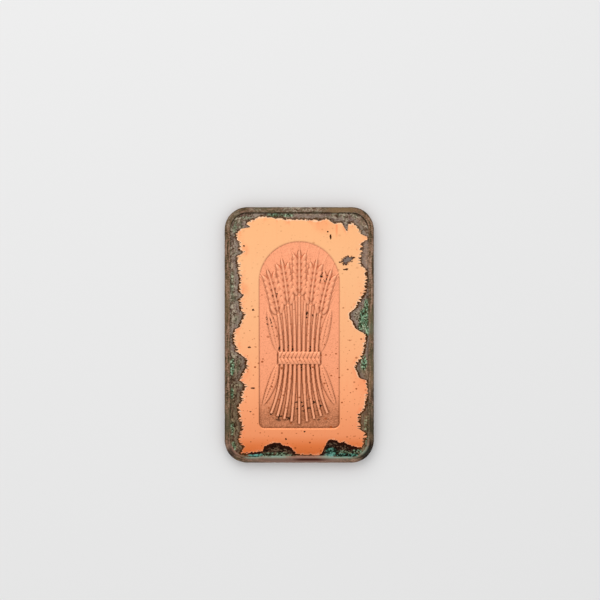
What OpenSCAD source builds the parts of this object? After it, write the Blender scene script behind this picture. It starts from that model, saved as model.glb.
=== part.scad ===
// Struck copper ingot: a flat bar with a raised rim, and a sunk tablet with a wheat sheaf on its face.
// It lies on its plain back. The origin is the centre of the back face, and +Z is up.

/* [Bar] */
// Length of the bar, along Y
bar_length = 50; // [44:0.5:60]
// Width of the bar, along X
bar_width = 29.2; // [25:0.1:36]
// Thickness of the bar over its rim
bar_thickness = 2.5; // [1.8:0.05:4]
// Radius of the bar's corners in plan
corner_radius = 4.4; // [3:0.1:7]
// Radius of the edge round the back
back_edge_radius = 0.4; // [0.2:0.05:0.6]

/* [Rim] */
// Width of the raised rim
rim_width = 1.2; // [0.9:0.05:1.8]
// Height of the rim over the face
rim_height = 0.3; // [0.2:0.01:0.4]
// Radius of the rim's outer shoulder
shoulder_radius = 0.5; // [0.2:0.05:0.6]

/* [Tablet] */
// Width of the sunk tablet
tablet_width = 15.8; // [15.2:0.1:18]
// Height of the tablet, to the top of its arch
tablet_height = 36.6; // [35.6:0.1:39]
// Depth of the tablet under the face
tablet_depth = 0.15; // [0.08:0.01:0.25]
// Radius of the tablet's lower corners
tablet_corner = 1.2; // [0.5:0.1:2]

/* [Stalks] */
// Height of the tie's middle over the bar's middle
tie_rise = -4.5; // [-5:0.1:-4]
// Stalks on each side of the middle one. Every second stalk has an ear
side_stalks = 4; // [2:2:4]
// Distance between stalks at the tie
stalk_pitch = 0.85; // [0.8:0.01:0.95]
// Width of a stalk
stalk_width = 0.65; // [0.4:0.01:0.75]
// Height of a stalk over the tablet
stalk_relief = 0.17; // [0.1:0.01:0.25]
// Length of the middle stalk, from the tie's middle to its ear
stalk_length = 12.2; // [10:0.1:13]
// Length by which each stalk is shorter than its inner neighbour
stalk_step = 0.9; // [0.6:0.05:1.2]
// Turn of the first side stalk, in degrees for each millimetre
stalk_curl = 0.27; // [0.2:0.01:0.3]
// Length of the middle stalk's butt, below the tie's middle
butt_length = 12.9; // [9:0.1:13.4]
// Length by which each butt is shorter than its inner neighbour
butt_step = 0.45; // [0.2:0.05:0.8]
// Turn of the first side butt, in degrees for each millimetre
butt_curl = 0.5; // [0.2:0.01:0.6]

/* [Ears and leaves] */
// Pairs of grains in an ear
grain_pairs = 6; // [3:1:6]
// Distance between pairs along the ear
grain_pitch = 1.25; // [1.2:0.01:1.3]
// Length of a grain
grain_length = 2.05; // [1.6:0.05:2.2]
// Width of a grain
grain_width = 0.85; // [0.6:0.01:0.9]
// Slant of a grain away from the ear's middle, in degrees
grain_slant = 22; // [18:1:26]
// Height of a grain over the tablet
grain_relief = 0.27; // [0.18:0.01:0.35]
// Length of a leaf
leaf_length = 8.5; // [6:0.1:9]
// Width of a leaf
leaf_width = 1.5; // [1:0.05:1.6]
// Height of a leaf over the tablet
leaf_relief = 0.21; // [0.12:0.01:0.3]
// Lean of a leaf away from its stalk, in degrees
leaf_lean = 9; // [5:1:12]

/* [Tie] */
// Height of the band that ties the sheaf, along the sheaf
tie_height = 2.6; // [2:0.1:3.5]
// How far the band reaches past the last stalk
tie_overhang = 0.35; // [0.2:0.05:0.8]
// Height of the band over the tablet
tie_relief = 0.3; // [0.25:0.01:0.4]
// Grooves across the band
tie_grooves = 6; // [3:1:7]
// Width of a groove across the band
groove_width = 0.3; // [0.2:0.01:0.4]
// Depth of a groove across the band
groove_depth = 0.09; // [0.05:0.01:0.2]
// Slant of the grooves, in degrees
groove_slant = 28; // [10:1:35]

/* [Hidden] */
$fn = 96;
cut_slack = 1;                                   // how far a cut runs past what it cuts
root_depth = 0.4;                                // how deep the relief is rooted in the bar
face_level = bar_thickness - rim_height;         // height of the struck face over the back
tablet_level = face_level - tablet_depth;        // height of the tablet's floor over the back
arch_radius = tablet_width / 2;                  // the tablet's top is a half round
rim_crest_radius = rim_height;                   // the rim's inner edge is a quarter round
straight_x = bar_width / 2 - corner_radius;      // half of the straight run of the short edges
straight_y = bar_length / 2 - corner_radius;     // half of the straight run of the long edges
shoulder_share = 0.45;                           // share of a relief's height where its sides end
stalk_start = tie_height / 4;                    // where a stalk starts, from the tie's middle
tie_width = (2 * side_stalks + 1) * stalk_pitch + 2 * tie_overhang;

// Radius of a dome that rises by this height over this width
function dome_radius(width, rise) = (rise * rise + width * width / 4) / (2 * rise);

// Radius of a stalk that turns by this many degrees for each millimetre
function turn_radius(curl) = 180 / (PI * curl);

// What a quarter round leaves of a square corner. The round's middle is at the origin
module corner_cut(radius) {
    difference() {
        square(radius + cut_slack);
        circle(radius);
    }
}

// Section of the bar's edge, from the middle of the corner radius outward
module edge_section() {
    difference() {
        square([corner_radius, bar_thickness]);
        translate([-cut_slack, face_level])
            square([corner_radius - rim_width + cut_slack, rim_height + cut_slack]);
        translate([corner_radius - rim_width + rim_crest_radius, bar_thickness - rim_crest_radius])
            mirror([1, 0]) corner_cut(rim_crest_radius);
        translate([corner_radius - shoulder_radius, bar_thickness - shoulder_radius])
            corner_cut(shoulder_radius);
        translate([corner_radius - back_edge_radius, back_edge_radius])
            mirror([0, 1]) corner_cut(back_edge_radius);
    }
}

// The bar with its rim: a plate, and the edge section run along the sides and round the corners
module bar() {
    translate([-straight_x, -straight_y, 0])
        cube([2 * straight_x, 2 * straight_y, face_level]);
    for (side = [0 : 3]) {
        out = side % 2 == 0 ? straight_x : straight_y;
        along = side % 2 == 0 ? straight_y : straight_x;
        rotate(side * 90) translate([out, along, 0]) {
            rotate([90, 0, 0]) linear_extrude(2 * along) edge_section();
            rotate_extrude(angle = 90) edge_section();
        }
    }
}

// Section of a stalk: a low dome on a root that goes into the bar
module stalk_section() {
    dome = dome_radius(stalk_width, stalk_relief * (1 - shoulder_share));
    intersection() {
        translate([0, stalk_relief - dome]) circle(dome);
        translate([-stalk_width / 2, -root_depth]) square([stalk_width, root_depth + stalk_relief]);
    }
}

// One stalk from inside the tie upward. Number 0 is the straight one, and higher numbers lean to +X
module stalk(number, curl, length) {
    if (number == 0) {
        translate([0, stalk_start, 0]) rotate([90, 0, 180])
            linear_extrude(length - stalk_start) stalk_section();
    } else {
        radius = turn_radius(number * curl);
        turn = number * curl * length;
        translate([number * stalk_pitch + radius, 0, 0]) rotate(180 - turn)
            rotate_extrude(angle = turn - number * curl * stalk_start)
                translate([radius, 0]) stalk_section();
    }
}

// Puts its children at this length along a stalk, with +Y along the stalk
module along_stalk(number, curl, length) {
    turn = number * curl * length;
    radius = number == 0 ? 0 : turn_radius(number * curl);
    rise = number == 0 ? length : radius * sin(turn);
    translate([number * stalk_pitch + radius * (1 - cos(turn)), rise, 0]) rotate(-turn) children();
}

// One grain or leaf: pointed at both ends and domed across, with its lower end at the origin
module blade(length, width, relief) {
    side_radius = (length * length + width * width) / (4 * width);
    side_offset = side_radius - width / 2;
    dome = dome_radius(width, relief * (1 - shoulder_share));
    translate([0, length / 2, 0]) intersection() {
        translate([0, 0, -root_depth]) linear_extrude(root_depth + relief) intersection() {
            translate([side_offset, 0]) circle(side_radius);
            translate([-side_offset, 0]) circle(side_radius);
        }
        translate([0, 0, relief - dome]) rotate([90, 0, 0])
            cylinder(r = dome, h = 2 * length, center = true);
    }
}

module grain() {
    blade(grain_length, grain_width, grain_relief);
}

// One ear: grains in pairs along the end of a stalk, and one more at its tip
module ear(number) {
    start = stalk_length - number * stalk_step;
    for (pair = [0 : grain_pairs - 1])
        along_stalk(number, stalk_curl, start + pair * grain_pitch)
            for (side = [-1, 1])
                translate([side * grain_width / 2, 0, 0]) rotate(-side * grain_slant) grain();
    along_stalk(number, stalk_curl, start + grain_pairs * grain_pitch) grain();
}

// A leaf that grows out of the tie beside the last stalk
module leaf(curl) {
    along_stalk(side_stalks + 1, curl, tie_height / 2)
        rotate(-leaf_lean) blade(leaf_length, leaf_width, leaf_relief);
}

// The band round the sheaf, domed along the sheaf, with slanted grooves
module tie() {
    dome = dome_radius(tie_height, tie_relief * (1 - shoulder_share));
    groove_pitch = tie_width / (tie_grooves + 1);
    difference() {
        intersection() {
            translate([0, 0, tie_relief - dome]) rotate([0, 90, 0])
                cylinder(r = dome, h = tie_width, center = true);
            translate([0, 0, tie_relief - root_depth])
                cube([tie_width, tie_height, 2 * root_depth], center = true);
        }
        for (groove = [1 : tie_grooves])
            translate([groove * groove_pitch - tie_width / 2, 0, tie_relief])
                rotate(-groove_slant)
                    cube([groove_width, 2 * tie_height, 2 * groove_depth], center = true);
    }
}

// The sheaf: stalks, ears and leaves above the tie, butts and leaves below it
module sheaf() {
    tie();
    for (number = [0 : side_stalks], side = number == 0 ? [0] : [0, 1])
        mirror([side, 0, 0]) {
            stalk(number, stalk_curl, stalk_length - number * stalk_step);
            if (number % 2 == 0) ear(number);
            mirror([0, 1, 0]) stalk(number, butt_curl, butt_length - number * butt_step);
        }
    for (side = [0, 1])
        mirror([side, 0, 0]) {
            leaf(stalk_curl);
            mirror([0, 1, 0]) leaf(butt_curl);
        }
}

// Outline of the tablet: an arch on a rectangle with rounded lower corners
module tablet_outline() {
    foot = -tablet_height / 2;
    corner_x = tablet_width / 2 - tablet_corner;
    translate([0, tablet_height / 2 - arch_radius]) circle(arch_radius);
    translate([-tablet_width / 2, foot + tablet_corner])
        square([tablet_width, tablet_height - arch_radius - tablet_corner]);
    translate([-corner_x, foot]) square([2 * corner_x, tablet_height / 2]);
    for (x = [-corner_x, corner_x])
        translate([x, foot + tablet_corner]) circle(tablet_corner);
}

module ingot() {
    color("#c97a4a") {
        difference() {
            bar();
            translate([0, 0, tablet_level]) linear_extrude(cut_slack) tablet_outline();
        }
        translate([0, tie_rise, tablet_level]) sheaf();
    }
}

ingot();
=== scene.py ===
import math

import bpy
import numpy as np
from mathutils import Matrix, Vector
from mathutils.geometry import delaunay_2d_cdt


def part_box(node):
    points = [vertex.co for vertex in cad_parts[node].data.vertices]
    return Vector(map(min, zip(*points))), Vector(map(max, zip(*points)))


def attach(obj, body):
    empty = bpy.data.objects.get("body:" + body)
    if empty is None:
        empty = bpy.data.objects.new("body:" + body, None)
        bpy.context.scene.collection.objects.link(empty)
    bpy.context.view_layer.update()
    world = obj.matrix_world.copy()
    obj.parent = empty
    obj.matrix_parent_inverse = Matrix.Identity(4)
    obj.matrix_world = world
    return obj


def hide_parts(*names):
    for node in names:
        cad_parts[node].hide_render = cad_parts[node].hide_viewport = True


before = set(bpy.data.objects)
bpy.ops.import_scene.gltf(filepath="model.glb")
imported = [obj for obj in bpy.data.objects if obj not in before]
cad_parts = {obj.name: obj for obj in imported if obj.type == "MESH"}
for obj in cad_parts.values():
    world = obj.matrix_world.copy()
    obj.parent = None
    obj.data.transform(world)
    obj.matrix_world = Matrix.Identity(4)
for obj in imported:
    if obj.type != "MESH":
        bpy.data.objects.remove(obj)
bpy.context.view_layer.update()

mm = 0.001  # the shapes below are in millimetres


# Small number helpers

def ease(low, high, value):  # from 0 at low to 1 at high, level at both ends
    t = np.clip((value - low) / (high - low), 0, 1)
    return t * t * (3 - 2 * t)


def bumpy(x, y, seed):  # smooth noise from -1 to 1, about one bump for each unit
    period = 64
    table = np.random.default_rng(seed).uniform(-1, 1, (period, period))
    column, row = np.floor(x).astype(int), np.floor(y).astype(int)
    across, up = ease(0, 1, x - column), ease(0, 1, y - row)

    def knot(i, j):
        return table[(row + j) % period, (column + i) % period]

    low = knot(0, 0) + (knot(1, 0) - knot(0, 0)) * across
    high = knot(0, 1) + (knot(1, 1) - knot(0, 1)) * across
    return low + (high - low) * up


def layered(x, y, seed, layers=3):  # the same noise with finer bumps on it
    total = 0
    for layer in range(layers):
        total = total + bumpy(x * 2 ** layer, y * 2 ** layer, seed + layer) * 0.5 ** layer
    return total


# The bar

barLow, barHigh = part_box("ingot")
bar = {
    "halfWidth": (barHigh[0] - barLow[0]) / mm / 2,
    "halfLength": (barHigh[1] - barLow[1]) / mm / 2,
    "thickness": (barHigh[2] - barLow[2]) / mm,
    "cornerRadius": 4.4,
    "rimWidth": 1.2,
    "rimHeight": 0.3,
    "shoulder": 0.5,      # radius of the rim's outer edge
    "backEdge": 0.4,      # radius of the edge round the back
    "rimSlope": 0.7,      # how wide the rim's inner slope is
    "rimToe": 0.25,       # how far that slope runs past the rim's width
    "rimWear": 0.02,      # how deep the rim's crest is worn
    "nick": 0.03,         # how deep the outer edge is nicked
    "wave": 0.012,        # how far the struck face is out of flat
    "topDepth": 0.6,      # how far below the face still counts as the top
    "fineStep": 0.12,     # mesh step on the tablet
    "fineMargin": 0.3,    # how far that step is kept up past the tablet
    "plainStep": 0.2,     # mesh step round the tablet
    "edgeStep": 0.15,     # mesh step from the face out to the rim
    "backStep": 1.0,      # mesh step on the back
    "cornerSpokes": 30,
    "arcSteps": 5,        # steps round each rounded edge
    "wallSteps": 5,
}
bar["face"] = bar["thickness"] - bar["rimHeight"]
bar["straightX"] = bar["halfWidth"] - bar["cornerRadius"]
bar["straightY"] = bar["halfLength"] - bar["cornerRadius"]


def edgeDistance(x, y):  # how far a point is inside the bar's outline
    dx = np.abs(x) - bar["straightX"]
    dy = np.abs(y) - bar["straightY"]
    outside = np.hypot(np.maximum(dx, 0), np.maximum(dy, 0))
    return bar["cornerRadius"] - outside - np.minimum(np.maximum(dx, dy), 0)


# The sunk tablet and its sheaf, laid out as in the solid but with fuller relief and finer forms

tablet = {
    "halfWidth": 7.9,
    "halfHeight": 18.3,
    "depth": 0.15,
    "corner": 1.2,
    "edgeSlope": 0.2,
}


def tabletDistance(x, y):  # how far a point is inside the tablet's outline
    archY = tablet["halfHeight"] - tablet["halfWidth"]
    arch = tablet["halfWidth"] - np.hypot(x, y - archY)
    dx = np.abs(x) - tablet["halfWidth"] + tablet["corner"]
    dy = -tablet["halfHeight"] + tablet["corner"] - y
    foot = tablet["corner"] - np.hypot(np.maximum(dx, 0), np.maximum(dy, 0))
    foot = foot - np.minimum(np.maximum(dx, dy), 0)
    return np.where(y > archY, arch, foot)


sheaf = {
    "tieRise": -4.5,
    "sideStalks": 4,
    "stalkPitch": 0.85,
    "stalkWidth": 0.66,
    "stalkRelief": 0.2,
    "stalkTaper": 0.18,   # share of its width that a stalk loses
    "stalkEnd": 0.12,     # how far its end is rounded
    "knotPlace": 0.55,    # share of the stalk below its knot
    "knotLength": 0.22,
    "knotSwell": 0.22,
    "stalkLength": 12.2,
    "stalkStep": 0.9,
    "stalkCurl": 0.27,    # degrees for each millimetre, times the stalk's number
    "buttLength": 12.9,
    "buttStep": 0.45,
    "buttCurl": 0.5,
    "grainPairs": 6,
    "grainPitch": 1.25,
    "grainLength": 2.15,
    "grainWidth": 0.92,
    "grainSlant": 22,
    "grainRelief": 0.33,
    "grainCrease": 0.14,
    "middleGrain": 0.72,  # how wide the middle row's grains are beside the others
    "awnStart": 0.8,      # share of the grain below the start of its awn
    "awnLength": 3.4,
    "awnWidth": 0.26,
    "awnRelief": 0.09,
    "awnBend": 0.35,
    "leafLength": 8.5,
    "leafWidth": 1.6,
    "leafRelief": 0.24,
    "leafLean": 9,
    "leafBend": 0.5,
    "leafCrease": 0.45,
    "veinPitch": 0.62,
    "veinDepth": 0.12,
    "veinSlant": 1.6,
    "tieHeight": 2.6,
    "tieOverhang": 0.35,
    "tieRelief": 0.34,
    "tieEdge": (-0.06, 0.12),     # where its rounded edges start and end
    "tieEnd": (-0.06, 0.2),
    "tieHollow": 0.38,    # how far the line between its two cords sinks
    "tieGrooves": 11,
    "grooveDepth": 0.11,
    "grooveSlant": 28,
}
sheaf["tieWidth"] = (2 * sheaf["sideStalks"] + 1) * sheaf["stalkPitch"] + 2 * sheaf["tieOverhang"]


def alongStalk(x, y, number, curl):  # place along and across a stalk, which is an arc
    if number == 0:
        return y, x
    radius = math.degrees(1) / (number * curl)
    fromCentre = number * sheaf["stalkPitch"] + radius - x
    return radius * np.arctan2(y, fromCentre), radius - np.hypot(fromCentre, y)


def roundTop(across, halfWidth):  # 1 along the middle, round down to 0 at the sides
    share = np.clip(np.abs(across) / np.maximum(halfWidth, 1e-6), 0, 1)
    return np.sqrt(1 - share * share)


def stalkHeight(along, across, length):  # tapered, with one knot
    halfWidth = sheaf["stalkWidth"] / 2 * (1 - sheaf["stalkTaper"] * np.clip(along / length, 0, 1))
    body = sheaf["stalkRelief"] * roundTop(across, halfWidth)
    fromKnot = (along - sheaf["knotPlace"] * length) / sheaf["knotLength"]
    knot = 1 + sheaf["knotSwell"] * np.exp(-fromKnot ** 2)
    ends = ease(length + sheaf["stalkEnd"], length - sheaf["stalkEnd"], along)
    return np.where(along > 0, body * knot * ends, 0)


def bladeHeight(along, across, length, width, relief, crease):  # a domed lens, creased down the middle
    t = np.clip(along / length, 0, 1)
    belly = np.power(4 * t * (1 - t), 0.62) * (1.1 - 0.22 * t)
    body = roundTop(across, width / 2 * belly) * np.power(4 * t * (1 - t), 0.25)
    groove = 1 - crease * np.exp(-(across / (0.1 * width)) ** 2)
    return relief * body * groove * (0.82 + 0.25 * t)


def grainHeight(t, u, side):  # one grain and the awn at its tip
    plump = 1 if side else sheaf["middleGrain"]
    body = bladeHeight(t, u, sheaf["grainLength"], plump * sheaf["grainWidth"], sheaf["grainRelief"],
                       sheaf["grainCrease"])
    awnT = (t - sheaf["awnStart"] * sheaf["grainLength"]) / sheaf["awnLength"]
    bend = sheaf["awnBend"] * side * np.clip(awnT, 0, 1) ** 2
    fade = np.where((awnT > 0) & (awnT < 1), np.clip(1 - awnT, 0, 1), 0)
    awn = sheaf["awnRelief"] * roundTop(u + bend, sheaf["awnWidth"] / 2) * np.sqrt(fade)
    return np.maximum(body, awn)


def earHeight(along, across, start):  # two outer rows of grains, and a middle row half a step up
    height = np.zeros_like(along)
    for side, lift in ((-1, 0), (1, 0), (0, 0.5)):
        turn = math.radians(sheaf["grainSlant"]) * side
        for grain in range(sheaf["grainPairs"]):
            dx = across - side * sheaf["grainWidth"] / 2
            dy = along - start - (grain + lift) * sheaf["grainPitch"]
            t = dx * math.sin(turn) + dy * math.cos(turn)
            u = dx * math.cos(turn) - dy * math.sin(turn)
            height = np.maximum(height, grainHeight(t, u, side))
    return height


def leafHeight(along, across):  # a bent blade with slanted veins
    lean = math.radians(sheaf["leafLean"])
    along = along - sheaf["tieHeight"] / 2
    t = across * math.sin(lean) + along * math.cos(lean)
    u = across * math.cos(lean) - along * math.sin(lean)
    u = u + sheaf["leafBend"] * np.clip(t / sheaf["leafLength"], 0, 1) ** 2
    leaf = bladeHeight(t, u, sheaf["leafLength"], sheaf["leafWidth"], sheaf["leafRelief"],
                       sheaf["leafCrease"])
    slanted = t - np.abs(u) * sheaf["veinSlant"]
    return leaf * (1 - sheaf["veinDepth"] * np.cos(slanted * 2 * math.pi / sheaf["veinPitch"]))


def tieHeight(x, y):  # two twisted cords, one above the other
    inHeight = sheaf["tieHeight"] / 2 - np.abs(y)
    inWidth = sheaf["tieWidth"] / 2 - np.abs(x)
    inside = ease(*sheaf["tieEdge"], inHeight) * ease(*sheaf["tieEnd"], inWidth)
    strands = np.abs(np.sin(y * math.pi / sheaf["tieHeight"] * 2))
    slant = math.tan(math.radians(sheaf["grooveSlant"]))
    pitch = sheaf["tieWidth"] / sheaf["tieGrooves"]
    twist = np.abs(np.sin((x - np.abs(y) * slant) / pitch * math.pi))
    hollow = sheaf["tieHollow"]
    dome = 1 - hollow + hollow * np.sqrt(np.clip(strands, 0, 1))
    return inside * (sheaf["tieRelief"] * dome - sheaf["grooveDepth"] * (1 - twist) ** 2)


def sheafHeight(x, y):  # the highest of all its pieces
    y = y - sheaf["tieRise"]
    height = np.zeros_like(x)
    for number in range(sheaf["sideStalks"] + 1):
        for side in ((1,) if number == 0 else (1, -1)):
            length = sheaf["stalkLength"] - number * sheaf["stalkStep"]
            along, across = alongStalk(side * x, y, number, sheaf["stalkCurl"])
            height = np.maximum(height, stalkHeight(along, across, length))
            if number % 2 == 0:
                height = np.maximum(height, earHeight(along, across, length))
            length = sheaf["buttLength"] - number * sheaf["buttStep"]
            along, across = alongStalk(side * x, -y, number, sheaf["buttCurl"])
            height = np.maximum(height, stalkHeight(along, across, length))
    for side in (1, -1):
        for up, curl in ((1, sheaf["stalkCurl"]), (-1, sheaf["buttCurl"])):
            along, across = alongStalk(side * x, up * y, sheaf["sideStalks"] + 1, curl)
            height = np.maximum(height, leafHeight(along, across))
    return np.maximum(height, tieHeight(x, y))


# The crust of patina. Each edge is a run of points: place along the side, then where bare copper starts

crust = {
    "left": [(-23.2, -11.4), (-22.1, -11), (-20.5, -11.7), (-17.7, -11), (-16.2, -11.6), (-13.8, -11.8),
             (-12.7, -11.1), (-11.5, -11.1), (-10, -10.5), (-8.8, -11.4), (-8.3, -11.3), (-5.9, -10.1),
             (-5.1, -10.2), (-2.9, -12.2), (-0.7, -12.8), (0.8, -12.7), (1.7, -11.6), (3.9, -10.7),
             (5.2, -11.5), (6.9, -11.7), (7.7, -10.7), (8.5, -11.7), (10.2, -11.5), (15.3, -12),
             (16.2, -10.9), (16.6, -11.5), (18, -11.6), (19, -12.3), (19.9, -12.2), (20.7, -11.4),
             (21.1, -9.7), (21.8, -10.3), (22.2, -10.1)],
    "right": [(-21.9, 12.3), (-19.3, 12.9), (-18.3, 11.7), (-15.6, 11.7), (-14.5, 12.7), (-10.6, 13.5),
              (-9, 13.1), (-8.2, 11.6), (-6.4, 10.9), (-3.2, 12.5), (-0.2, 13.1), (1.5, 10.8),
              (2.6, 10.4), (3.2, 9.8), (4, 9.7), (5.7, 11.3), (8.8, 12.9), (12.2, 13.1), (14.2, 11.9),
              (18, 12.3), (18.9, 13.4), (20, 11.9), (20.9, 11.6), (21.9, 10.5)],
    "top": [(-11.4, 21), (-10.6, 21.1), (-10.3, 22.1), (-7.2, 23), (-0.8, 22.5), (4, 22.4), (5.3, 22.7),
            (6.8, 21.8), (8.2, 21.9), (9.4, 20.2), (9.6, 21.6), (10.5, 21.9), (11.1, 21.5)],
    "bottom": [(-11.4, -23.1), (-7.2, -22.7), (-6.8, -21.7), (-4.7, -20.9), (-2.4, -21.7), (0.1, -23.4),
               (3.9, -23.4), (6, -20.5), (6.9, -20.5), (7.9, -21), (8.6, -20.8), (10.4, -21.8),
               (12.3, -21.9), (12.6, -21)],
    "smooth": [(10.4, 2.8, 2.4, 3, 1), (11.4, -7.4, 1.6, 1.2, 0.8)],      # where the edge has no teeth
    "wander": 0.08,       # how far the edge wanders off those points
    "thickness": 0.05,
    "blisters": 0.08,
    "scab": 0.02,         # how high the black flecks stand
    "backReach": 1.3,     # how far the crust reaches in from the edge on the back
    "backWander": 0.7,
}

# Soft oval patches: middle x, middle y, half width, half height, strength
patina = {
    "verdigris": [(12.6, 3.3, 1.0, 1.8, 1.0), (12.4, 1.6, 1.0, 1.1, 1.0), (13.1, 5.6, 0.5, 1.5, 0.8),
                  (13.4, 0.7, 0.6, 0.9, 0.9), (12.6, -5.4, 0.7, 1.6, 0.9), (-13.1, -6.2, 0.5, 1.8, 1.0),
                  (-13.1, -11.3, 0.4, 1.4, 0.6), (-13.1, -18.4, 0.5, 1.6, 0.65),
                  (-12.8, -21.8, 0.5, 1.2, 0.6), (-13.1, 10, 0.5, 3.5, 0.45),
                  (13.2, -20.6, 0.5, 2.2, 0.45), (13.1, -17.6, 0.6, 2.2, 0.45),
                  (-3.6, 23.3, 3.2, 0.4, 0.7), (-12.6, 20.6, 0.6, 2, 0.42),
                  (-10.4, 22.9, 1.6, 0.5, 0.42)],
    "teal": [(-8.5, -23.3, 1.5, 0.6, 1.0), (6.2, -22.9, 1.1, 0.9, 1.0), (9.2, -23.5, 2.4, 0.4, 0.9)],
    "cyan": [(-8.9, -23.4, 1.0, 0.4, 1.0), (5.9, -23.5, 0.9, 0.4, 0.7)],
    "moss": [(-4, 23.6, 3.6, 0.35, 0.5), (-4.4, -23.5, 2.8, 0.6, 1.0), (8.6, -22.9, 1.6, 0.4, 0.8),
             (11.3, -23, 1, 0.7, 1.0)],
    "soot": [(-4.6, -21.9, 3.4, 1.2, 1.0), (8, -21.7, 3.4, 1.3, 1.0), (-9, -22.9, 1.8, 0.5, 0.7),
             (4.2, -23, 1, 0.8, 0.9), (-1.4, -23, 1.1, 0.6, 0.8)],
    "dirt": [(-2.6, -2.7, 1.8, 0.7, 1.0), (2.4, -2.8, 1.4, 0.6, 0.8), (0.6, -6.3, 2.4, 0.7, 0.9),
             (2, -13.8, 3, 1.3, 1.0), (-4, -16.2, 2.7, 1, 1.0), (4.6, -16.6, 1.8, 0.8, 0.9),
             (5, 11.2, 1.3, 1.2, 0.9), (-5.6, 2.6, 1.2, 1.2, 0.9), (-4.6, 8, 1.2, 1.2, 0.7),
             (2.2, 3.8, 1.4, 1, 0.8)],
    "rimCrust": [(0.4, 24.4, 4.6, 1.2, 1.0), (-8.6, 24.2, 1.6, 1.4, 0.8), (-12.8, 22.8, 2.4, 2, 0.5)],
    "rimOchre": [(8, 24.4, 3, 1.3, 1.0), (14.3, -9.5, 1, 2.4, 0.5), (-14.3, 7, 1, 5, 0.4)],
    "rimOlive": [(14.2, -18, 1.2, 3, 0.8), (14.3, 2.6, 1, 3, 0.8), (14.3, -5, 1, 2.2, 0.7),
                 (-14.3, -17, 1.2, 2.4, 1.0), (-6.6, 24.4, 1.6, 1.2, 0.6), (-12.6, 22.6, 2, 2, 0.5)],
    "rimDark": [(14.3, -17.4, 1.2, 3, 0.6), (13.2, -22.6, 2.4, 2.6, 1.0),
                (-14.3, -17.4, 1.2, 1.8, 0.35), (-13.2, -23, 1.2, 1.2, 0.8),
                (14.5, -11.5, 0.6, 2, 0.6)],
    # pale mauve on the rim at the foot, a painted reflection of a pale surround
    "rimMauveReflection": [(0, -24.5, 9, 1.2, 1.0), (-13, -22, 1.6, 1.6, 0.5)],
    # painted highlight on the rim's inner slope at the foot and corners
    "rimLipHighlight": [(0, -23.9, 9, 1.2, 1.0), (12.8, -22.2, 1.6, 2.4, 0.7), (-12.4, -22.8, 1.8, 1.8, 0.7)],
    # dark red oxide line on the rim at the foot, deepened as painted shade on the rim's outer slope
    "rimRedShade": [(2, -24.4, 3.4, 1.2, 1.0), (-3, -24.4, 8, 1.2, 0.4)],
    "rimGreen": [(14.1, 1.2, 0.7, 1.1, 0.9), (-9, -23.8, 1.5, 0.8, 1.0), (-4.8, -23.8, 2.6, 0.8, 0.8),
                 (7.8, -23.8, 3.4, 0.8, 1.0), (12.6, -22.4, 1.2, 1.2, 0.6)],
    "pale": [(13.3, 15, 0.9, 5, 1.2), (12, 21.8, 1.4, 1, 0.6), (-13.2, 12.5, 0.6, 3, 0.4),
             (13, -6, 1, 3, 0.7), (12.8, -17, 0.9, 3, 0.7), (0, 23.3, 6, 0.6, 0.6)],
    "blush": [(7.3, 20.8, 0.22, 1.6, 1.0), (5, 21.2, 2, 1.2, 0.5), (-10.6, 16.6, 0.7, 1.2, 0.6),
              (-10.6, 8.9, 0.8, 1, 0.5), (12.2, -9, 1.4, 3, 0.45), (-10.6, -7.4, 1, 1.2, 0.4)],
}

# Black flecks on the bare copper: middle x, middle y, half width, half height
flecks = [(-10.8, 17.4, 0.2, 0.18), (-9, 4.9, 0.22, 0.2), (-9.8, -2.4, 0.3, 0.22),
          (-9, -10.4, 0.45, 0.18), (-9.6, -15, 0.2, 0.16), (9, 14.4, 0.75, 0.75), (9.6, 14.8, 0.85, 0.65),
          (10.4, 15.1, 0.5, 0.2), (8, 14.2, 0.3, 0.12), (9.1, 12.8, 0.5, 0.2), (6.1, 19.2, 0.2, 0.5),
          (5.6, 20.2, 0.18, 0.18), (-2.6, -20.3, 0.2, 0.2), (1, -18.9, 0.24, 0.15)]
flake = (9.4, 14.6, 1.2, 0.8, 1)      # the patch that is grey inside the widest of them
noFleck = -2.0        # well outside them all


def edgeRun(points, place):  # a run through the points, rounded at each of them
    stops, values = np.array(points).T
    k = np.clip(np.searchsorted(stops, place) - 1, 0, len(points) - 2)
    return values[k] + (values[k + 1] - values[k]) * ease(stops[k], stops[k + 1], place)


def crustReach(x, y):  # how far a point is inside the crust, and how far more by a side than by an end
    wander = crust["wander"] * (bumpy(y / 1.1, x / 1.1, 23) + bumpy(x / 0.6, y / 0.6, 24))
    sides = np.maximum(edgeRun(crust["left"], y) - x, x - edgeRun(crust["right"], y))
    ends = np.maximum(y - edgeRun(crust["top"], x), edgeRun(crust["bottom"], x) - y)
    return np.maximum(sides, ends) + wander, sides - ends


def straightness(x, y):  # 1 where the crust's edge runs along the bar, 0 where it crosses
    near = 0.45
    left = np.abs(edgeRun(crust["left"], y + near) - edgeRun(crust["left"], y - near))
    right = np.abs(edgeRun(crust["right"], y + near) - edgeRun(crust["right"], y - near))
    return ease(1.0, 0.5, np.where(x < 0, left, right))


def patches(x, y, spots):  # the strongest of a few soft oval patches
    total = np.zeros_like(x)
    for middleX, middleY, halfWidth, halfHeight, strength in spots:
        away = np.hypot((x - middleX) / halfWidth, (y - middleY) / halfHeight)
        total = np.maximum(total, strength * ease(1.5, 0.4, away))
    return total


def fleckReach(x, y):  # above 0 inside a fleck
    reach = np.full_like(x, noFleck)
    for middleX, middleY, halfWidth, halfHeight in flecks:
        away = np.hypot((x - middleX) / halfWidth, (y - middleY) / halfHeight)
        reach = np.maximum(reach, 1 - away)
    return reach


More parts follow.
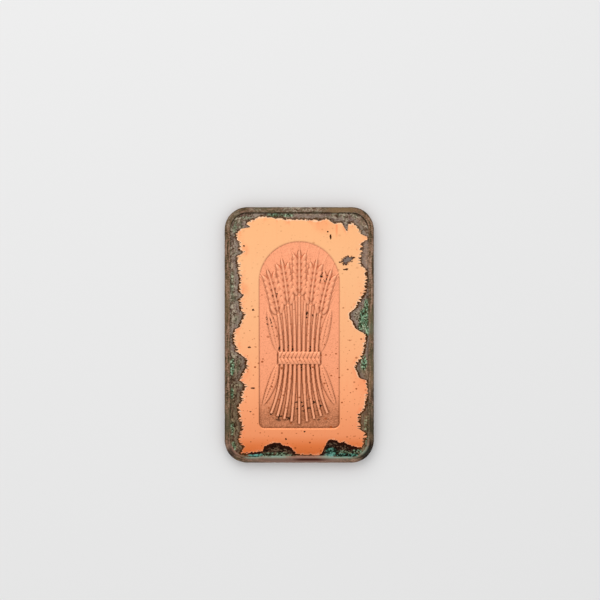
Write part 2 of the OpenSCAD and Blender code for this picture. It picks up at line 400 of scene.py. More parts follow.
def topHeight(x, y):  # the struck side, with its rim, tablet, sheaf and crust
    edge = edgeDistance(x, y)
    toe = bar["rimWidth"] + bar["rimToe"]
    rim = bar["rimHeight"] * ease(toe, toe - bar["rimSlope"], edge)
    crest = ease(0.2, 0.9, rim / bar["rimHeight"])
    rim = rim - bar["rimWear"] * crest * (0.5 + 0.5 * layered(x / 2.1, y / 2.1, 31))
    sunk = ease(-tablet["edgeSlope"] / 2, tablet["edgeSlope"] / 2, tabletDistance(x, y))
    field = bar["wave"] * layered(x / 6, y / 9, 32, 2) * ease(0.5, 3, edge)
    reach, _ = crustReach(x, y)
    grown = ease(0, 0.4, reach) * ease(bar["rimWidth"] - 0.5, bar["rimWidth"] + 0.1, edge)
    blisters = np.maximum(0, layered(x / 0.55, y / 0.55, 33))
    salts = 1 + patches(x, y, patina["verdigris"])
    growth = grown * (crust["thickness"] + crust["blisters"] * blisters * salts)
    scab = crust["scab"] * ease(0, 0.5, fleckReach(x, y))
    height = bar["face"] + rim + field + growth + scab + sunk * (sheafHeight(x, y) - tablet["depth"])
    return np.minimum(height, bar["thickness"])


# The mesh: a graded grid inside, spokes from its border over the rim and down to the back

def gradedRun(reach, fineReach):  # places from -reach to reach, closer together in the middle
    def run(start, end, pitch):
        return np.linspace(start, end, max(1, round((end - start) / pitch)), endpoint=False)

    pieces = [run(-reach, -fineReach, bar["plainStep"]), run(-fineReach, fineReach, bar["fineStep"]),
              run(fineReach, reach, bar["plainStep"]), [reach]]
    return np.concatenate(pieces)


def spokeProfile():  # distance out from the grid, and height; no height where the face gives it
    radius = bar["cornerRadius"]
    shoulderStart = radius - bar["shoulder"]
    wallTop = bar["thickness"] - bar["shoulder"]
    turns = np.linspace(0, math.pi / 2, bar["arcSteps"] + 1)[1:]
    onFace = np.linspace(0, shoulderStart, round(shoulderStart / bar["edgeStep"]) + 1)[1:]
    profile = [(out, None) for out in onFace]
    profile += [(shoulderStart + bar["shoulder"] * math.sin(turn),
                 bar["thickness"] - bar["shoulder"] * (1 - math.cos(turn))) for turn in turns]
    wall = np.linspace(wallTop, bar["backEdge"], bar["wallSteps"] + 1)[1:]
    profile += [(radius, height) for height in wall]
    profile += [(radius - bar["backEdge"] * (1 - math.cos(turn)),
                 bar["backEdge"] * (1 - math.sin(turn))) for turn in turns]
    return profile


def borderSpokes(columns, rows, gridIndex):  # each spoke's grid point and angle, all round the bar
    spokes = []
    lastX, lastY = len(columns) - 1, len(rows) - 1
    sides = [([(lastX, j) for j in range(lastY + 1)], 0),
             ([(i, lastY) for i in range(lastX, -1, -1)], 90),
             ([(0, j) for j in range(lastY, -1, -1)], 180),
             ([(i, 0) for i in range(lastX + 1)], 270)]
    for side, angle in sides:
        for i, j in side:
            spokes.append((gridIndex[j, i], angle))
        for k in range(1, bar["cornerSpokes"]):
            spokes.append((spokes[-1][0], angle + 90 * k / bar["cornerSpokes"]))
    return spokes


def gridFaces(gridIndex):
    corners = [gridIndex[:-1, :-1], gridIndex[:-1, 1:], gridIndex[1:, 1:], gridIndex[1:, :-1]]
    return [tuple(face) for face in np.stack(corners, axis=-1).reshape(-1, 4).tolist()]


def ringFaces(inner, outer):  # quads between two rings, triangles where spokes share a point
    faces = []
    for k in range(len(inner)):
        n = (k + 1) % len(inner)
        face = [inner[k], outer[k], outer[n], inner[n]]
        faces.append(tuple(int(v) for v in dict.fromkeys(face)))
    return faces


def fillBack(ringPlaces, ring, count):  # points and faces of the flat back, inside the last ring
    pitch = bar["backStep"]
    x, y = np.meshgrid(np.arange(-bar["halfWidth"], bar["halfWidth"], pitch),
                       np.arange(-bar["halfLength"], bar["halfLength"], pitch))
    x = x + pitch / 2 * (np.arange(x.shape[0]) % 2)[:, None]
    inside = edgeDistance(x, y) > bar["backEdge"] + pitch / 2
    fill = np.column_stack([x[inside], y[inside]])
    flat = [Vector(p) for p in np.concatenate([ringPlaces, fill])]
    ringEdges = [(k, (k + 1) % len(ring)) for k in range(len(ring))]
    _, _, triangles, sources, _, _ = delaunay_2d_cdt(flat, ringEdges, [], 1, 1e-6)
    numbers = np.concatenate([ring, np.arange(count, count + len(fill))])
    ids = [int(numbers[source[0]]) for source in sources]
    faces = [tuple(ids[v] for v in reversed(triangle)) for triangle in triangles]
    return np.column_stack([fill, np.zeros(len(fill))]), faces


def makeIngot():
    columns = gradedRun(bar["straightX"], tablet["halfWidth"] + bar["fineMargin"])
    rows = gradedRun(bar["straightY"], tablet["halfHeight"] + bar["fineMargin"])
    gridX, gridY = np.meshgrid(columns, rows)
    gridIndex = np.arange(gridX.size).reshape(gridX.shape)
    points = [np.column_stack([gridX.ravel(), gridY.ravel(), topHeight(gridX, gridY).ravel()])]
    faces = gridFaces(gridIndex)

    spokes = borderSpokes(columns, rows, gridIndex)
    base = np.array([spoke[0] for spoke in spokes])
    angle = np.radians([spoke[1] for spoke in spokes])
    direction = np.column_stack([np.cos(angle), np.sin(angle)])
    turn = np.linspace(0, 1, len(spokes), endpoint=False) * 2 * math.pi
    rings = [base]
    count = gridX.size
    for out, height in spokeProfile():
        place = points[0][base, :2] + direction * out
        if height is None:
            z = topHeight(place[:, 0], place[:, 1])
        else:
            nick = bar["nick"] * layered(20 * np.cos(turn), 20 * np.sin(turn) + height, 35)
            place = place - direction * np.abs(nick)[:, None] * ease(0, 0.4, height)
            z = np.full(len(place), height)
        points.append(np.column_stack([place, z]))
        rings.append(np.arange(count, count + len(place)))
        count += len(place)
    for inner, outer in zip(rings, rings[1:]):
        faces += ringFaces(inner, outer)
    backPoints, backFaces = fillBack(points[-1][:, :2], rings[-1], count)
    points = np.concatenate(points + [backPoints])
    faces += backFaces

    mesh = bpy.data.meshes.new("copper_ingot")
    mesh.from_pydata((points * mm).tolist(), [], faces)
    mesh.validate()
    mesh.shade_smooth()
    ingot = bpy.data.objects.new("copper_ingot", mesh)
    bpy.context.collection.objects.link(ingot)
    triangles = sum(len(face) - 2 for face in faces)
    print("ingot:", len(points), "points,", triangles, "triangles")
    return ingot, points, gridX, rings


# Values that the material reads, kept on the mesh's points

def addValues(mesh, name, values):
    layer = mesh.attributes.new(name, "FLOAT", "POINT")
    layer.data.foreach_set("value", np.asarray(values, dtype=np.float32))


def blurred(grid, passes):
    for _ in range(passes):
        wide = np.pad(grid, 1, mode="edge")
        beside = wide[:-2, 1:-1] + wide[2:, 1:-1] + wide[1:-1, :-2] + wide[1:-1, 2:]
        grid = (beside + 4 * wide[1:-1, 1:-1]) / 8
    return grid


def markHollows(mesh, points, gridX):  # how far a point lies below those round it, near and further off
    heights = points[:gridX.size, 2].reshape(gridX.shape)
    for name, passes in (("hollow", 3), ("wideHollow", 14)):
        hollow = np.zeros(len(points))
        hollow[:gridX.size] = (blurred(heights, passes) - heights).ravel()
        addValues(mesh, name, hollow)


def markEdgeRun(mesh, points, rings):  # place along the edge, wound on a circle so that it has no seam
    loop = points[rings[-1]][:, :2]
    steps = np.linalg.norm(np.diff(loop, axis=0, append=loop[:1]), axis=1)
    turn = 2 * math.pi * np.concatenate([[0], np.cumsum(steps)[:-1]]) / steps.sum()
    radius = steps.sum() / 2 / math.pi
    for name, values in (("roundX", radius * np.cos(turn)), ("roundY", radius * np.sin(turn))):
        placed = np.zeros(len(points))
        for ring in rings[1:]:
            placed[ring] = values
        addValues(mesh, name, placed)


def markPatina(mesh, points):
    x, y, z = points.T
    onTop = z > bar["face"] - bar["topDepth"]
    edge = edgeDistance(x, y)
    reach, sidewards = crustReach(x, y)
    backReach = crust["backReach"] + crust["backWander"] * layered(x / 2.5, y / 2.5, 51) - edge
    smooth = patches(x, y, crust["smooth"])
    toothed = ease(-0.3, 0.3, sidewards) * straightness(x, y) * (1 - smooth)
    addValues(mesh, "edge", edge)
    addValues(mesh, "back", ~onTop)
    addValues(mesh, "crustReach", np.where(onTop, reach, backReach))
    addValues(mesh, "smooth", smooth)
    addValues(mesh, "toothed", toothed * onTop)
    addValues(mesh, "matte", ease(-0.08, 0.08, tabletDistance(x, y)) * onTop)
    addValues(mesh, "fleckReach", np.where(onTop, fleckReach(x, y), noFleck))
    addValues(mesh, "flake", patches(x, y, [flake]) * onTop)
    for name, spots in patina.items():      # those of the rim go down the sides too
        addValues(mesh, name, patches(x, y, spots) * (onTop | name.startswith("rim")))


# Material helpers

def tone(red, green, blue):  # a colour as a paint program gives it
    def linear(c):
        c = c / 255
        return c / 12.92 if c <= 0.04045 else ((c + 0.055) / 1.055) ** 2.4

    return (linear(red), linear(green), linear(blue), 1)


def addNode(tree, kind, inputs, **settings):
    node = tree.nodes.new(kind)
    for key, value in settings.items():
        setattr(node, key, value)
    for key, value in inputs.items():
        if isinstance(value, bpy.types.NodeSocket):
            tree.links.new(value, node.inputs[key])
        else:
            node.inputs[key].default_value = value
    return node


def sums(tree, operation, a, b):
    return addNode(tree, "ShaderNodeMath", {0: a, 1: b}, operation=operation).outputs[0]


def both(tree, a, b):
    return sums(tree, "MULTIPLY", a, b)


def awayFrom(tree, value, middle):
    return sums(tree, "ABSOLUTE", sums(tree, "SUBTRACT", value, middle), 0.0)


def step(tree, value, start, end, low=0.0, high=1.0):  # eases from low at start to high at end
    inputs = {"Value": value, "From Min": start, "From Max": end, "To Min": low, "To Max": high}
    return addNode(tree, "ShaderNodeMapRange", inputs, interpolation_type="SMOOTHSTEP").outputs[0]


def mix(tree, factor, a, b):
    return addNode(tree, "ShaderNodeMix", {0: factor, 6: a, 7: b}, data_type="RGBA").outputs[2]


def mixValue(tree, factor, a, b):
    return addNode(tree, "ShaderNodeMix", {0: factor, 2: a, 3: b}, data_type="FLOAT").outputs[0]


def stored(tree, name):  # a value kept on the mesh's points
    return addNode(tree, "ShaderNodeAttribute", {}, attribute_name=name).outputs["Fac"]


def cloud(tree, place, size, stretch=(1, 1, 1), detail=3.0, roughness=0.55):  # noise of that size
    scale = tuple(s / size for s in stretch)
    vector = addNode(tree, "ShaderNodeMapping", {"Vector": place, "Scale": scale}).outputs[0]
    inputs = {"Vector": vector, "Scale": 1.0, "Detail": detail, "Roughness": roughness}
    return addNode(tree, "ShaderNodeTexNoise", inputs).outputs[0]


def ramp(tree, value, stops):  # colours along a run of stops
    node = addNode(tree, "ShaderNodeValToRGB", {0: value})
    points = node.color_ramp.elements
    while len(points) < len(stops):
        points.new(1.0)
    for point, (position, colour) in zip(points, stops):
        point.position = position
        point.color = colour
    return node.outputs[0]


# The copper and its patina

finish = {
    # bare copper; the field goes by share of the way from foot to top, paler at the top as a painted light
    # falloff
    "field": [(0.02, tone(210, 109, 56)), (0.05, tone(225, 123, 69)), (0.09, tone(241, 150, 102)),
              (0.26, tone(253, 170, 121)), (0.5, tone(252, 182, 131)), (0.75, tone(251, 188, 136)),
              (0.95, tone(250, 184, 130))],
    "fieldReach": 24.0,       # how far foot and top are from the middle
    "halo": tone(246, 132, 84),
    "tarnish": tone(164, 96, 62),
    "glint": tone(255, 214, 178),
    "speck": tone(164, 82, 40),
    "fleck": tone(72, 36, 10),
    "flake": tone(128, 112, 104),
    "fieldRoughness": 0.33,
    "backRoughness": 0.5,

    # the struck tablet
    "matte": tone(252, 170, 129),
    "matteLow": tone(248, 164, 121),
    # painted highlight on the ridges
    "ridgeHighlight": tone(254, 184, 144),
    # dark of the stipple, and painted shade in the hollows
    "groove": tone(166, 97, 66),
    "grime": tone(120, 68, 38),
    # painted shade along the creases
    "creaseShade": tone(106, 54, 26),
    "dirt": tone(60, 36, 22),
    "matteRoughness": 0.5,

    # the crust, from its dark grains to its pale ones
    "crust": [(0.06, tone(66, 47, 33)), (0.3, tone(108, 87, 70)), (0.5, tone(133, 112, 95)),
              (0.72, tone(154, 138, 120)), (0.94, tone(184, 172, 150))],
    "crustPale": tone(180, 146, 122),
    "crustShade": tone(208, 198, 176),    # darkens the crust towards the foot
    "crustLine": tone(76, 42, 12),
    "crustBand": tone(140, 121, 111),
    "crustStain": tone(112, 78, 72),
    "greenGrey": tone(108, 116, 90),
    "greens": [(0.08, tone(40, 42, 22)), (0.3, tone(76, 86, 56)), (0.52, tone(104, 118, 86)),
               (0.74, tone(88, 140, 110)), (0.95, tone(168, 194, 160))],
    "mosses": [(0.15, tone(24, 18, 8)), (0.42, tone(56, 60, 40)), (0.68, tone(88, 102, 76)),
               (0.94, tone(124, 148, 122))],
    "teals": [(0.2, tone(16, 20, 10)), (0.48, tone(32, 58, 44)), (0.76, tone(50, 94, 78)),
              (0.97, tone(98, 152, 134))],
    "cyan": tone(112, 172, 160),
    "soots": [(0.2, tone(20, 5, 0)), (0.46, tone(40, 20, 10)), (0.7, tone(72, 47, 33)),
              (0.92, tone(106, 86, 68))],
    "sootLine": tone(40, 13, 3),
    "crustRoughness": 0.86,
    "grainSize": 0.23,
    "toothPitch": 0.31,
    "toothLength": 0.72,

    # the rim, from its dark streaks to its pale ones, and the upright sides
    "rims": [(0.05, tone(64, 52, 34)), (0.28, tone(102, 80, 56)), (0.52, tone(134, 103, 79)),
             (0.76, tone(142, 104, 84)), (0.98, tone(168, 140, 116))],
    "rimOchre": tone(132, 106, 74),
    "rimOlive": tone(98, 92, 66),
    "rimDark": tone(18, 11, 5),
    # painted reflection of a pale surround on the rim at the foot
    "rimMauveReflection": tone(138, 106, 95),
    "rimShade": tone(74, 62, 44),
    # dark red oxide, deepened as painted shade on the rim's outer slope at the foot
    "rimRedShade": tone(70, 30, 20),
    # painted highlight on the rim's inner slope
    "rimLipHighlight": tone(162, 120, 102),
    "rimGreen": tone(138, 172, 154),
    "side": tone(142, 92, 66),
    "sideDark": tone(112, 74, 54),
    # painted shade and dirt along the rim's foot
    "footShadeAndDirt": tone(38, 30, 18),
    "sideDrop": 0.5,          # how far below the face a side has its full colour
    "streakAlong": 0.18,      # how close the streaks' noise is along the edge and across it
    "streakAcross": 1.6,
    "rimEdge": 1.06,          # where the rim's oxide ends
    "rimRoughness": 0.6,

    "shine": 0.08,            # specular level of the oxides
}


def bareCopper(tree, place, placeY, ragged, back):  # a painted light falloff, paler at the top and darker towards the foot
    reach = finish["fieldReach"]
    share = {"Value": placeY, "From Min": -reach, "From Max": reach}
    field = ramp(tree, addNode(tree, "ShaderNodeMapRange", share).outputs[0], finish["field"])
    for size, start, end in ((6, 0.36, 0.62), (0.9, 0.4, 0.75)):      # wide clouds and small spots
        tarnish = both(tree, step(tree, cloud(tree, place, size, (1, 0.7, 1), 4), start, end), 0.7)
        field = mix(tree, both(tree, tarnish, back), field, finish["tarnish"])
    brush = cloud(tree, place, 0.35, (1, 0.05, 1), 4)
    field = mix(tree, step(tree, brush, 0.55, 0.8, 0, 0.16), field, finish["halo"])
    tints = cloud(tree, place, 1.6, (1, 0.6, 1), 3)
    nearCrust = both(tree, step(tree, ragged, -1.3, -0.1), step(tree, tints, 0.5, 0.72))
    field = mix(tree, both(tree, nearCrust, 0.6), field, finish["halo"])
    blush = both(tree, stored(tree, "blush"), step(tree, tints, 0.3, 0.6, 0.3, 0.65))
    field = mix(tree, blush, field, finish["halo"])
    glint = both(tree, step(tree, ragged, -0.3, -0.06, 0, 0.75), step(tree, placeY, -22, -12, 0.25, 1.0))
    return mix(tree, glint, field, finish["glint"])


def struckCopper(tree, placeY, stipple, wideHollow):  # matte, darker towards the foot, with painted shade in the hollows and creases and a painted highlight on the ridges
    matte = mix(tree, step(tree, placeY, 2, -16), finish["matte"], finish["matteLow"])
    matte = mix(tree, step(tree, stipple, 0.42, 0.75, 0, 0.36), matte, finish["groove"])
    grime = both(tree, step(tree, placeY, -11, -16.5, 0, 0.9), step(tree, stipple, 0.3, 0.6, 0.5, 1.0))
    matte = mix(tree, both(tree, grime, step(tree, wideHollow, -0.05, 0.03)), matte, finish["grime"])
    # painted shade in the hollows, stronger towards the foot; then a painted highlight on the ridges and
    # painted shade along the creases
    depth = step(tree, placeY, 12, -14, 0.2, 1.0)
    matte = mix(tree, both(tree, step(tree, wideHollow, 0.0, 0.08), depth), matte, finish["groove"])
    matte = mix(tree, step(tree, wideHollow, -0.02, -0.1, 0, 0.9), matte, finish["ridgeHighlight"])
    crease = step(tree, stored(tree, "hollow"), 0.006, 0.035)
    line = both(tree, crease, step(tree, placeY, 12, -14, 0.45, 1.0))
    return mix(tree, line, matte, finish["creaseShade"])


def speckMask(tree, place, placeY):  # three spreads of specks, stronger towards the foot
    mask = 0.0
    for spacing, largest, turn in ((0.7, 0.13, 0.2), (1.15, 0.16, 0.7), (2.3, 0.11, -0.4)):
        laid = {"Vector": place, "Scale": (0.8 / spacing, 1 / spacing, 1), "Rotation": (0, 0, turn)}
        spread = {"Vector": addNode(tree, "ShaderNodeMapping", laid).outputs[0], "Scale": 1.0}
        cells = addNode(tree, "ShaderNodeTexVoronoi", spread, voronoi_dimensions="2D")
        chance = addNode(tree, "ShaderNodeSeparateColor", {0: cells.outputs["Color"]})
        size = step(tree, chance.outputs[0], 0.2, 1.0, 0.02, largest)
        speck = step(tree, sums(tree, "SUBTRACT", size, cells.outputs["Distance"]), -0.02, 0.04)
        speck = both(tree, speck, step(tree, chance.outputs[1], 0.3, 0.95, 0.05, 0.95))
        mask = sums(tree, "MAXIMUM", mask, speck)
    return both(tree, mask, step(tree, placeY, 16, -4, 0.3, 1.0))


def soiled(tree, colour, place, placeY, clots, matteMask, wideHollow):  # dirt in the hollows, then specks
    dirt = both(tree, both(tree, stored(tree, "dirt"), matteMask), step(tree, clots, 0.5, 0.6))
    dirt = both(tree, dirt, step(tree, wideHollow, -0.02, 0.03))
    colour = mix(tree, step(tree, dirt, 0.15, 0.45), colour, finish["dirt"])
    return mix(tree, speckMask(tree, place, placeY), colour, finish["speck"])


def flecked(tree, colour, chips):  # black flecks, the widest of them grey inside, and where they are
    reach = sums(tree, "ADD", stored(tree, "fleckReach"), step(tree, chips, 0.3, 0.7, -0.3, 0.4))
    mask = step(tree, reach, 0.0, 0.15)
    grey = both(tree, stored(tree, "flake"), step(tree, reach, 0.3, 0.5))
    return mix(tree, mask, colour, mix(tree, grey, finish["fleck"], finish["flake"])), mask


def crustEdge(tree, place, placeY):  # pointed teeth where the edge runs along the bar, and small nibbles
    pitch = finish["toothPitch"]
    noise = cloud(tree, place, 1.3, (0.5, 1, 1), 2)
    along = sums(tree, "ADD", placeY, step(tree, noise, 0.2, 0.8, -0.5, 0.5))
    wave = sums(tree, "DIVIDE", sums(tree, "PINGPONG", along, pitch), pitch)
    length = step(tree, noise, 0.3, 0.65, 0.3, finish["toothLength"])
    teeth = both(tree, sums(tree, "SUBTRACT", sums(tree, "POWER", wave, 1.15), 0.4), length)
    nibble = cloud(tree, place, 0.34, (0.8, 1.2, 1), 2)
    calm = step(tree, stored(tree, "smooth"), 0, 1, 1, 0.35)
    nibble = both(tree, step(tree, nibble, 0.25, 0.75, -0.19, 0.19), calm)
    reach = sums(tree, "ADD", stored(tree, "crustReach"), both(tree, teeth, stored(tree, "toothed")))
    return sums(tree, "ADD", reach, nibble)


def grainPattern(tree, place, edge):  # a blotchy mix and a grainy one, drawn out along the edge
    axes = addNode(tree, "ShaderNodeSeparateXYZ", {0: place})
    drawn = {0: both(tree, edge, 1.7), 1: axes.outputs[0], 2: axes.outputs[1]}
    drawn = addNode(tree, "ShaderNodeCombineXYZ", drawn).outputs[0]
    blotch = cloud(tree, drawn, 0.8, (1, 0.8, 0.8), 3, 0.65)
    size = finish["grainSize"]
    crumble = addNode(tree, "ShaderNodeTexNoise", {"Vector": place, "Scale": 2 / size}).outputs["Color"]
    uneven = addNode(tree, "ShaderNodeVectorMath", {0: crumble, 1: (size, size, size), 2: place},
                     operation="MULTIPLY_ADD").outputs[0]
    cells = addNode(tree, "ShaderNodeTexVoronoi", {"Vector": uneven, "Scale": 1 / size})
    grain = addNode(tree, "ShaderNodeSeparateColor", {0: cells.outputs["Color"]}).outputs[0]
    blotch = step(tree, blotch, 0.28, 0.72)
    speckle = step(tree, mixValue(tree, 0.48, blotch, grain), 0.12, 0.88)
    return speckle, step(tree, mixValue(tree, 0.78, blotch, grain), 0.1, 0.9)


def salted(tree, colour, crumbs, clots):  # moss-green and blue-green salts, most of them at the foot
    for name, shades, start, end in (("moss", "mosses", 0.3, 0.5), ("teal", "teals", 0.25, 0.42)):
        strength = both(tree, stored(tree, name), step(tree, clots, start, end))
        colour = mix(tree, step(tree, strength, 0.2, 0.6), colour, ramp(tree, crumbs, finish[shades]))
    cyan = both(tree, stored(tree, "cyan"), step(tree, crumbs, 0.2, 0.7, 0.3, 0.9))
    return mix(tree, cyan, colour, finish["cyan"])


def edgeLine(tree, colour, placeY, ragged, soot):  # dark line inside the crust's edge, wider at the mounds
    lineTone = mix(tree, soot, finish["crustLine"], finish["sootLine"])
    lineEnd = sums(tree, "ADD", both(tree, soot, 0.26), 0.34)
    inside = sums(tree, "MINIMUM", ragged, stored(tree, "crustReach"))
    line = step(tree, sums(tree, "SUBTRACT", inside, lineEnd), 0.1, -0.08)
    return mix(tree, both(tree, line, step(tree, placeY, 8, 20, 1.0, 0.72)), colour, lineTone)


def crustColour(tree, place, placeY, speckle, crumbs, ragged, clots):
    moss = cloud(tree, place, 1.3, (1, 0.7, 1), 3)
    stains = cloud(tree, place, 0.9, (1.2, 0.7, 1), 2)
    colour = ramp(tree, speckle, finish["crust"])
    colour = mix(tree, step(tree, moss, 0.5, 0.7, 0, 0.5), colour, finish["greenGrey"])
    colour = mix(tree, step(tree, stains, 0.52, 0.68, 0, 0.6), colour, finish["crustStain"])
    pale = both(tree, stored(tree, "pale"), step(tree, speckle, 0.2, 0.7, 0.4, 0.75))
    colour = mix(tree, pale, colour, finish["crustPale"])
    band = both(tree, step(tree, ragged, 0.34, 0.56), step(tree, ragged, 1.2, 0.85))
    band = both(tree, band, step(tree, speckle, 0.1, 0.4, 0.3, 0.75))
    colour = mix(tree, band, colour, finish["crustBand"])
    shade = {0: step(tree, placeY, 2, -16), 6: colour, 7: finish["crustShade"]}
    colour = addNode(tree, "ShaderNodeMix", shade, data_type="RGBA", blend_type="MULTIPLY").outputs[2]
    green = both(tree, stored(tree, "verdigris"), step(tree, moss, 0.3, 0.5, 0.5, 1.0))
    colour = mix(tree, step(tree, green, 0.2, 0.7, 0, 0.95), colour, ramp(tree, crumbs, finish["greens"]))
    soot = step(tree, stored(tree, "soot"), 0.15, 0.5)
    colour = mix(tree, soot, colour, ramp(tree, speckle, finish["soots"]))
    colour = salted(tree, colour, crumbs, clots)
    return edgeLine(tree, colour, placeY, ragged, soot)


def streakPattern(tree, axes, edge, chips):  # drawn out along the edge, over the rim and down the side
    acrossEdge = sums(tree, "SUBTRACT", edge, axes.outputs[2])
    drawn = {0: both(tree, stored(tree, "roundX"), finish["streakAlong"]),
             1: both(tree, stored(tree, "roundY"), finish["streakAlong"]),
             2: both(tree, acrossEdge, finish["streakAcross"])}
    drawn = addNode(tree, "ShaderNodeCombineXYZ", drawn).outputs[0]
    streaks = cloud(tree, drawn, 0.5, (1, 1, 1), 4, 0.65)
    streaks = mixValue(tree, 0.4, step(tree, streaks, 0.3, 0.7), step(tree, chips, 0.3, 0.7))
    return step(tree, streaks, 0.12, 0.88)


def rimArea(tree, edge, streaks, side):  # the rim and the sides, apart from crust grown over them
    wornEdge = sums(tree, "ADD", edge, step(tree, streaks, 0, 1, -0.08, 0.08))
    wornEdge = sums(tree, "SUBTRACT", wornEdge, both(tree, stored(tree, "rimLipHighlight"), 0.28))
    mask = step(tree, wornEdge, finish["rimEdge"] + 0.06, finish["rimEdge"] - 0.06)
    grownOver = both(tree, stored(tree, "rimCrust"), step(tree, side, 0, 1, 0.7, 0.15))
    return both(tree, mask, sums(tree, "SUBTRACT", 1.0, grownOver))


def rimColour(tree, place, placeY, edge, streaks, side):  # streaked oxide, mottled brown on the sides, with painted shade, a painted highlight and a painted reflection along the rim
    colour = ramp(tree, streaks, finish["rims"])
    tints = cloud(tree, place, 0.9, (1, 1, 1), 3)
    colour = mix(tree, step(tree, tints, 0.5, 0.68, 0, 0.6), colour, finish["rimOlive"])
    # the mauve patches at the foot are a painted reflection of a pale surround
    for name in ("rimOchre", "rimOlive", "rimMauveReflection"):
        strength = both(tree, stored(tree, name), step(tree, streaks, 0.2, 1, 0.95, 0.6))
        colour = mix(tree, strength, colour, finish[name])
    shade = both(tree, step(tree, edge, 0.34, 0.04, 0, 0.6), step(tree, placeY, -24, -21, 0.1, 1.0))
    colour = mix(tree, shade, colour, finish["rimShade"])
    mottle = step(tree, cloud(tree, place, 1.8, (1, 1, 1), 4, 0.6), 0.35, 0.65)
    sideTone = mix(tree, mottle, finish["sideDark"], finish["side"])
    colour = mix(tree, both(tree, side, 0.75), colour, sideTone)
    dark = both(tree, stored(tree, "rimDark"), step(tree, edge, 1.05, 0.7, 0.3, 1.0))
    colour = mix(tree, both(tree, dark, step(tree, streaks, 0.3, 1, 1, 0.93)), colour, finish["rimDark"])
    # painted highlight on the rim's inner slope, mostly along the foot
    lip = both(tree, stored(tree, "rimLipHighlight"), step(tree, edge, 0.94, 1.18, 0, 0.9))
    colour = mix(tree, lip, colour, finish["rimLipHighlight"])
    # dark red oxide line, deepened as painted shade on the rim's outer slope at the foot
    redShade = both(tree, stored(tree, "rimRedShade"), step(tree, awayFrom(tree, edge, 0.66), 0.32, 0.14))
    colour = mix(tree, redShade, colour, finish["rimRedShade"])
    spill = both(tree, stored(tree, "rimGreen"), step(tree, streaks, 0.9, 0.1, 0.6, 1.0))
    return mix(tree, both(tree, spill, step(tree, edge, 0.7, 1.2, 0.1, 1.0)), colour, finish["rimGreen"])


def footShadeAndDirt(tree, placeY, edge, streaks):  # painted shade and dirt along the rim's foot, strongest at the top where the rim's inner slope faces away from the light
    fromFoot = awayFrom(tree, edge, finish["rimEdge"] + 0.1)
    atTop = step(tree, placeY, 19, 22.5, 0, 0.9)
    strength = sums(tree, "MAXIMUM", atTop, step(tree, streaks, 0.7, 0.2, 0.1, 0.7))
    strength = both(tree, strength, step(tree, placeY, -23.2, -21, 0.2, 1.0))
    return both(tree, step(tree, fromFoot, 0.24, 0.06), strength)


def fineRelief(tree, stipple, speckle, matteMask, crustMask):  # relief that the mesh is too coarse for
    inputs = {"Height": both(tree, stipple, matteMask), "Strength": 0.35, "Distance": 0.03 * mm}
    stippled = addNode(tree, "ShaderNodeBump", inputs).outputs[0]
    inputs = {"Height": both(tree, speckle, crustMask), "Strength": 0.6, "Distance": 0.1 * mm,
              "Normal": stippled}
    return addNode(tree, "ShaderNodeBump", inputs).outputs[0]


def copperFinish():
    material = bpy.data.materials.new("patinated_copper")
    material.use_nodes = True
    tree = material.node_tree
    shader = tree.nodes["Principled BSDF"]
    shader.inputs["Specular IOR Level"].default_value = finish["shine"]
    toMillimetres = {0: addNode(tree, "ShaderNodeTexCoord", {}).outputs["Object"], "Scale": 1 / mm}
    place = addNode(tree, "ShaderNodeVectorMath", toMillimetres, operation="SCALE").outputs[0]
    axes = addNode(tree, "ShaderNodeSeparateXYZ", {0: place})
    placeY = axes.outputs[1]
    side = step(tree, axes.outputs[2], bar["face"], bar["face"] - finish["sideDrop"])
    edge = stored(tree, "edge")
    back = stored(tree, "back")
    wideHollow = stored(tree, "wideHollow")
    stipple = cloud(tree, place, 0.22, (1, 1, 1), 3, 0.65)
    chips = cloud(tree, place, 0.28, (0.7, 1.2, 1), 3)
    clots = cloud(tree, place, 0.7, (0.8, 1.2, 1), 3, 0.6)
    speckle, crumbs = grainPattern(tree, place, edge)
    streaks = streakPattern(tree, axes, edge, chips)
    ragged = crustEdge(tree, place, placeY)
    matteMask = stored(tree, "matte")
    crustMask = step(tree, ragged, -0.03, 0.04)
    rimMask = rimArea(tree, edge, streaks, side)

    colour = bareCopper(tree, place, placeY, ragged, back)
    colour = mix(tree, matteMask, colour, struckCopper(tree, placeY, stipple, wideHollow))
    colour = soiled(tree, colour, place, placeY, clots, matteMask, wideHollow)
    colour, fleckMask = flecked(tree, colour, chips)
    crusted = crustColour(tree, place, placeY, speckle, crumbs, ragged, clots)
    colour = mix(tree, crustMask, colour, crusted)
    colour = mix(tree, footShadeAndDirt(tree, placeY, edge, streaks), colour, finish["footShadeAndDirt"])
    colour = mix(tree, rimMask, colour, rimColour(tree, place, placeY, edge, streaks, side))
    tree.links.new(colour, shader.inputs["Base Color"])

    dull = sums(tree, "MAXIMUM", crustMask, sums(tree, "MAXIMUM", rimMask, fleckMask))
    dull = both(tree, dull, step(tree, side, 0, 1, 1, 0.5))
    tree.links.new(step(tree, dull, 0, 1, 1, 0.0), shader.inputs["Metallic"])
    rough = finish["fieldRoughness"]
    layers = ((matteMask, "matteRoughness"), (back, "backRoughness"), (crustMask, "crustRoughness"),
              (rimMask, "rimRoughness"))
    for mask, name in layers:
        rough = mixValue(tree, mask, rough, finish[name])
    tree.links.new(rough, shader.inputs["Roughness"])
    tree.links.new(fineRelief(tree, stipple, speckle, matteMask, crustMask), shader.inputs["Normal"])
    return material


ingot, points, gridX, rings = makeIngot()
markPatina(ingot.data, points)
markHollows(ingot.data, points, gridX)
markEdgeRun(ingot.data, points, rings)
print("ingot marked with", len(patina), "kinds of patina")
ingot.data.materials.append(copperFinish())
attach(ingot, "root")
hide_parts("ingot")
print("ingot dressed")


# Floor, light and camera

studio = {
    "floorHalf": 6,
    "floorTone": (0.82, 0.82, 0.82, 1),
    "skyTop": 0.96,
    "skyEdge": 0.5,
    "keyPlace": (-0.08, 0.26, 0.3),
    "keySize": 0.34,
    "keyPower": 0.46,
}


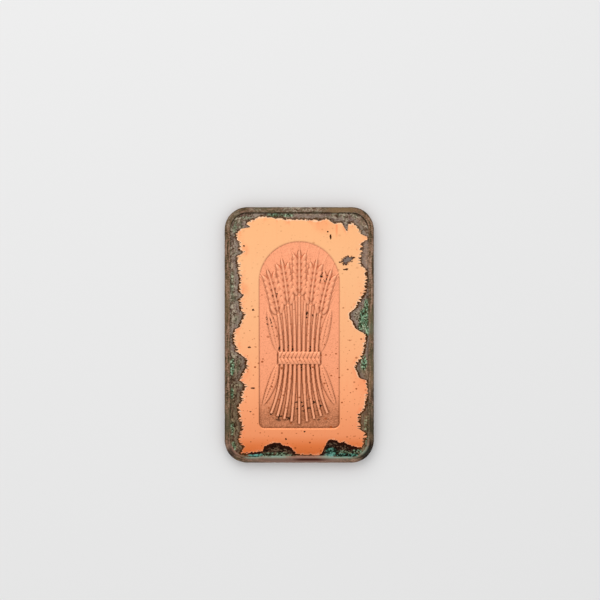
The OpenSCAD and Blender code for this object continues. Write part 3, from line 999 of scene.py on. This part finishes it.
def makeFloor():
    half = studio["floorHalf"]
    mesh = bpy.data.meshes.new("floor")
    corners = [(-half, -half, 0), (half, -half, 0), (half, half, 0), (-half, half, 0)]
    mesh.from_pydata(corners, [], [(0, 1, 2, 3)])
    floor = bpy.data.objects.new("floor", mesh)
    bpy.context.collection.objects.link(floor)
    material = bpy.data.materials.new("pale_floor")
    material.use_nodes = True
    shader = material.node_tree.nodes["Principled BSDF"]
    shader.inputs["Base Color"].default_value = studio["floorTone"]
    shader.inputs["Roughness"].default_value = 1
    shader.inputs["Specular IOR Level"].default_value = 0
    mesh.materials.append(material)


def makeSky():  # brighter overhead, dimmer at the sides
    world = bpy.data.worlds.new("studio")
    world.use_nodes = True
    bpy.context.scene.world = world
    tree = world.node_tree
    direction = addNode(tree, "ShaderNodeTexCoord", {}).outputs["Generated"]
    up = addNode(tree, "ShaderNodeSeparateXYZ", {0: direction}).outputs[2]
    strength = step(tree, up, 0.1, 0.95, studio["skyEdge"], studio["skyTop"])
    tree.links.new(strength, tree.nodes["Background"].inputs["Strength"])
    tree.nodes["Background"].inputs["Color"].default_value = (1, 1, 1, 1)


def makeKey():
    lamp = bpy.data.lights.new("key", "AREA")
    lamp.size = studio["keySize"]
    lamp.energy = studio["keyPower"]
    key = bpy.data.objects.new("key", lamp)
    key.location = studio["keyPlace"]
    key.rotation_euler = (-Vector(studio["keyPlace"])).to_track_quat("-Z", "Y").to_euler()
    key.visible_camera = False
    bpy.context.collection.objects.link(key)


shot = {
    "pixelSize": 0.1953 * mm,         # size of a pixel of the 600 by 600 image at the bar
    "imageSide": 600,
    "barPixel": (299.25, 334.95),     # where the bar's middle lies in the image
    "lens": 100,
    "sensor": 36,
}


def makeCamera():
    camera = bpy.data.cameras.new("camera")
    camera.lens = shot["lens"]
    camera.sensor_width = shot["sensor"]
    camera.clip_start = 0.01
    away = shot["imageSide"] * shot["pixelSize"] * shot["lens"] / shot["sensor"]
    middle = shot["imageSide"] / 2
    x = (middle - shot["barPixel"][0]) * shot["pixelSize"]
    y = (shot["barPixel"][1] - middle) * shot["pixelSize"]
    viewer = bpy.data.objects.new("camera", camera)
    viewer.location = (x, y, barHigh[2] + away)
    bpy.context.collection.objects.link(viewer)
    bpy.context.scene.camera = viewer


makeFloor()
makeSky()
makeKey()
makeCamera()
bpy.context.scene.view_settings.view_transform = "Standard"
print("studio ready")
